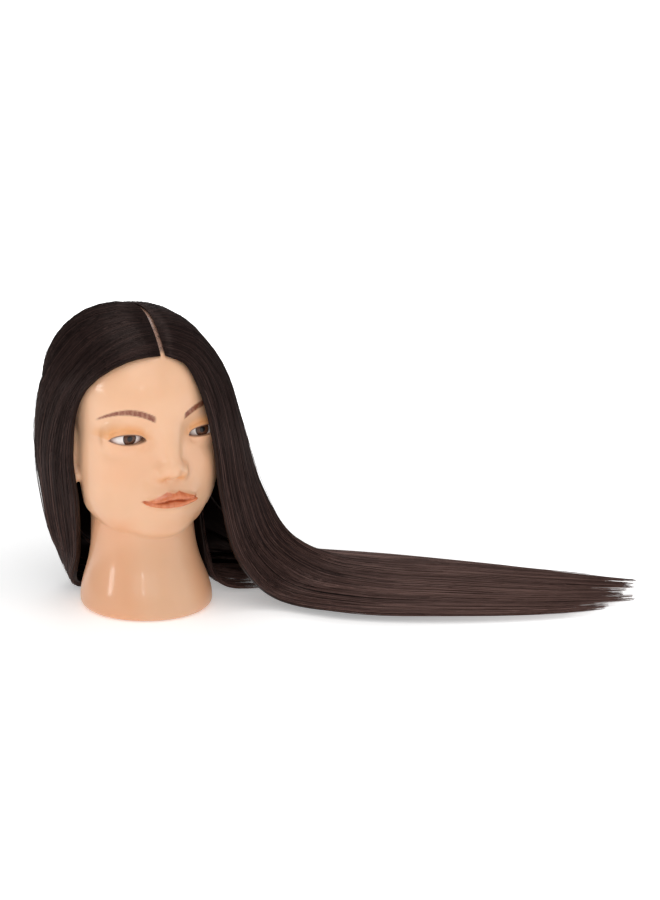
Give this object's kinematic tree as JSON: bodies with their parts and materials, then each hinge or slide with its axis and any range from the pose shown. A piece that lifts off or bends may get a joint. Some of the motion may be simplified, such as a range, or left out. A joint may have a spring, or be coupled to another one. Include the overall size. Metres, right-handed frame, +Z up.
{
  "type": "mannequin training head",
  "caption": "Hairdressing practice head: hollow vinyl head on a flared neck, foam filled, with a clamp socket and very long straight hair lying to one side.",
  "frame": {"origin": "centre of the base's bottom face, on the axis of the clamp socket", "axes": "+Z up, the face looks along -Y, and +X is the head's own left, where the hair lies along the table"},
  "size_m": [0.5022, 0.3267, 0.265],
  "materials": {
    "vinyl_skin": "satin",
    "foam": "matte",
    "black_plastic": "matte",
    "eye": "gloss",
    "hair": "satin"
  },
  "bodies": {
    "root": {"head_skin": "vinyl_skin", "foam_core": "foam", "base_disc": "black_plastic", "clamp_socket": "black_plastic", "eye_left": "eye", "eye_right": "eye", "hair_left_1": "hair", "hair_left_2": "hair", "hair_left_3": "hair", "hair_left_4": "hair", "hair_left_5": "hair", "hair_back_1": "hair", "hair_back_2": "hair", "hair_back_3": "hair", "hair_back_4": "hair", "hair_back_5": "hair", "hair_right_1": "hair", "hair_right_2": "hair", "hair_right_3": "hair", "hair_right_4": "hair", "hair_right_5": "hair", "hair_nape_1": "hair", "hair_nape_2": "hair", "hair_nape_3": "hair", "hair_nape_4": "hair"}
  },
  "joints": []
}
